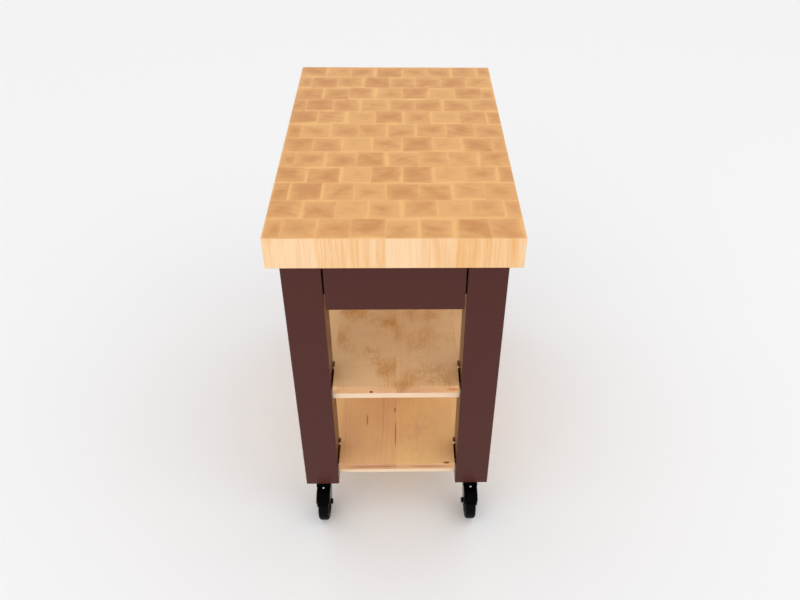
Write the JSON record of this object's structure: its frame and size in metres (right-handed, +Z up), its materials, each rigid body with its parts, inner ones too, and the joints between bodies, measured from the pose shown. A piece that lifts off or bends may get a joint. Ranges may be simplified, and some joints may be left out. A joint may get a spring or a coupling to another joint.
{
  "type": "butcher block table",
  "caption": "Rolling butcher block table: thick end-grain top on painted square legs, a drawer at one end, open shelves and swivel casters with brake pedals.",
  "frame": {"origin": "floor level, under the middle of the table", "axes": "+Z up; X across the short side; Y along the long side, with the drawer end facing -Y"},
  "size_m": [0.546, 0.9348, 0.9612],
  "materials": {
    "block_maple": "satin, oiled end grain",
    "painted_wood": "satin dark brown-burgundy paint",
    "shelf_maple": "satin, oiled face grain",
    "rail_wood": "sanded, unfinished",
    "drawer_plywood": "sanded, clear sealed",
    "slide_steel": "black e-coat",
    "bracket_black_steel": "black powder coat, satin",
    "fastener_steel": "plain",
    "caster_black_steel": "black powder coat, satin",
    "caster_fastener_black": "black oxide",
    "caster_core_nylon": "moulded",
    "caster_tread": "smooth tread"
  },
  "bodies": {
    "table": {"apron_left": "painted_wood", "apron_rear": "painted_wood", "apron_right": "painted_wood", "block_top": "block_maple", "caster_front_left_stem": "caster_black_steel", "caster_front_right_stem": "caster_black_steel", "caster_inserts": "fastener_steel", "caster_rear_left_stem": "caster_black_steel", "caster_rear_right_stem": "caster_black_steel", "joint_dowels": "rail_wood", "leg_front_left": "painted_wood", "leg_front_right": "painted_wood", "leg_rear_left": "painted_wood", "leg_rear_right": "painted_wood", "lower_rail_front": "rail_wood", "lower_rail_rear": "rail_wood", "lower_rails_side": "rail_wood", "lower_shelf": "shelf_maple", "runners": "rail_wood", "shelf_brackets": "bracket_black_steel", "slide_outer_left": "slide_steel", "slide_outer_right": "slide_steel", "top_screws": "fastener_steel", "upper_rail_front": "rail_wood", "upper_rail_rear": "rail_wood", "upper_rails_side": "rail_wood", "upper_shelf": "shelf_maple"},
    "drawer": {"drawer_front": "painted_wood", "drawer_back": "drawer_plywood", "drawer_bottom": "drawer_plywood", "drawer_side_left": "drawer_plywood", "drawer_side_right": "drawer_plywood", "slide_inner_left": "slide_steel", "slide_inner_right": "slide_steel"},
    "slide_middle_left": {"slide_middle_left": "slide_steel"},
    "slide_middle_right": {"slide_middle_right": "slide_steel"},
    "caster_front_left_swivel": {"caster_front_left_fork": "caster_black_steel", "caster_front_left_balls": "fastener_steel", "caster_front_left_pins": "caster_fastener_black"},
    "caster_front_left_wheel": {"caster_front_left_wheel_core": "caster_core_nylon", "caster_front_left_tyre": "caster_tread"},
    "caster_front_left_brake": {"caster_front_left_pedal": "caster_black_steel"},
    "caster_front_right_swivel": {"caster_front_right_fork": "caster_black_steel", "caster_front_right_balls": "fastener_steel", "caster_front_right_pins": "caster_fastener_black"},
    "caster_front_right_wheel": {"caster_front_right_wheel_core": "caster_core_nylon", "caster_front_right_tyre": "caster_tread"},
    "caster_front_right_brake": {"caster_front_right_pedal": "caster_black_steel"},
    "caster_rear_left_swivel": {"caster_rear_left_fork": "caster_black_steel", "caster_rear_left_balls": "fastener_steel", "caster_rear_left_pins": "caster_fastener_black"},
    "caster_rear_left_wheel": {"caster_rear_left_wheel_core": "caster_core_nylon", "caster_rear_left_tyre": "caster_tread"},
    "caster_rear_left_brake": {"caster_rear_left_pedal": "caster_black_steel"},
    "caster_rear_right_swivel": {"caster_rear_right_fork": "caster_black_steel", "caster_rear_right_balls": "fastener_steel", "caster_rear_right_pins": "caster_fastener_black"},
    "caster_rear_right_wheel": {"caster_rear_right_wheel_core": "caster_core_nylon", "caster_rear_right_tyre": "caster_tread"},
    "caster_rear_right_brake": {"caster_rear_right_pedal": "caster_black_steel"}
  },
  "joints": [
    {"name": "drawer_slide", "type": "slide", "parent": "table", "child": "drawer", "axis": [0, -1, 0], "range_m": [0, 0.48]},
    {"name": "slide_middle_left_travel", "type": "slide", "parent": "table", "child": "slide_middle_left", "axis": [0, -1, 0], "range_m": [0, 0.24]},
    {"name": "slide_middle_right_travel", "type": "slide", "parent": "table", "child": "slide_middle_right", "axis": [0, -1, 0], "range_m": [0, 0.24]},
    {"name": "caster_front_left_swivel_turn", "type": "hinge", "parent": "table", "child": "caster_front_left_swivel", "pos_m": [-0.20315, -0.37465, 0.11], "axis": [0, 0, 1], "continuous": true},
    {"name": "caster_front_left_wheel_spin", "type": "hinge", "parent": "caster_front_left_swivel", "child": "caster_front_left_wheel", "pos_m": [-0.20315, -0.41665, 0.0508], "axis": [1, 0, 0], "continuous": true},
    {"name": "caster_front_left_brake_press", "type": "hinge", "parent": "caster_front_left_swivel", "child": "caster_front_left_brake", "pos_m": [-0.20315, -0.40765, 0.11], "axis": [1, 0, 0], "range_deg": [0, 6]},
    {"name": "caster_front_right_swivel_turn", "type": "hinge", "parent": "table", "child": "caster_front_right_swivel", "pos_m": [0.20315, -0.37465, 0.11], "axis": [0, 0, 1], "continuous": true},
    {"name": "caster_front_right_wheel_spin", "type": "hinge", "parent": "caster_front_right_swivel", "child": "caster_front_right_wheel", "pos_m": [0.20315, -0.41665, 0.0508], "axis": [1, 0, 0], "continuous": true},
    {"name": "caster_front_right_brake_press", "type": "hinge", "parent": "caster_front_right_swivel", "child": "caster_front_right_brake", "pos_m": [0.20315, -0.40765, 0.11], "axis": [1, 0, 0], "range_deg": [0, 6]},
    {"name": "caster_rear_left_swivel_turn", "type": "hinge", "parent": "table", "child": "caster_rear_left_swivel", "pos_m": [-0.20315, 0.37465, 0.11], "axis": [0, 0, 1], "continuous": true},
    {"name": "caster_rear_left_wheel_spin", "type": "hinge", "parent": "caster_rear_left_swivel", "child": "caster_rear_left_wheel", "pos_m": [-0.20315, 0.41665, 0.0508], "axis": [1, 0, 0], "continuous": true},
    {"name": "caster_rear_left_brake_press", "type": "hinge", "parent": "caster_rear_left_swivel", "child": "caster_rear_left_brake", "pos_m": [-0.20315, 0.40765, 0.11], "axis": [-1, 0, 0], "range_deg": [0, 6]},
    {"name": "caster_rear_right_swivel_turn", "type": "hinge", "parent": "table", "child": "caster_rear_right_swivel", "pos_m": [0.20315, 0.37465, 0.11], "axis": [0, 0, 1], "continuous": true},
    {"name": "caster_rear_right_wheel_spin", "type": "hinge", "parent": "caster_rear_right_swivel", "child": "caster_rear_right_wheel", "pos_m": [0.20315, 0.41665, 0.0508], "axis": [1, 0, 0], "continuous": true},
    {"name": "caster_rear_right_brake_press", "type": "hinge", "parent": "caster_rear_right_swivel", "child": "caster_rear_right_brake", "pos_m": [0.20315, 0.40765, 0.11], "axis": [-1, 0, 0], "range_deg": [0, 6]}
  ],
  "couplings": [
    {"joint": "slide_middle_left_travel", "follows": "drawer_slide", "ratio": 0.5},
    {"joint": "slide_middle_right_travel", "follows": "drawer_slide", "ratio": 0.5}
  ]
}
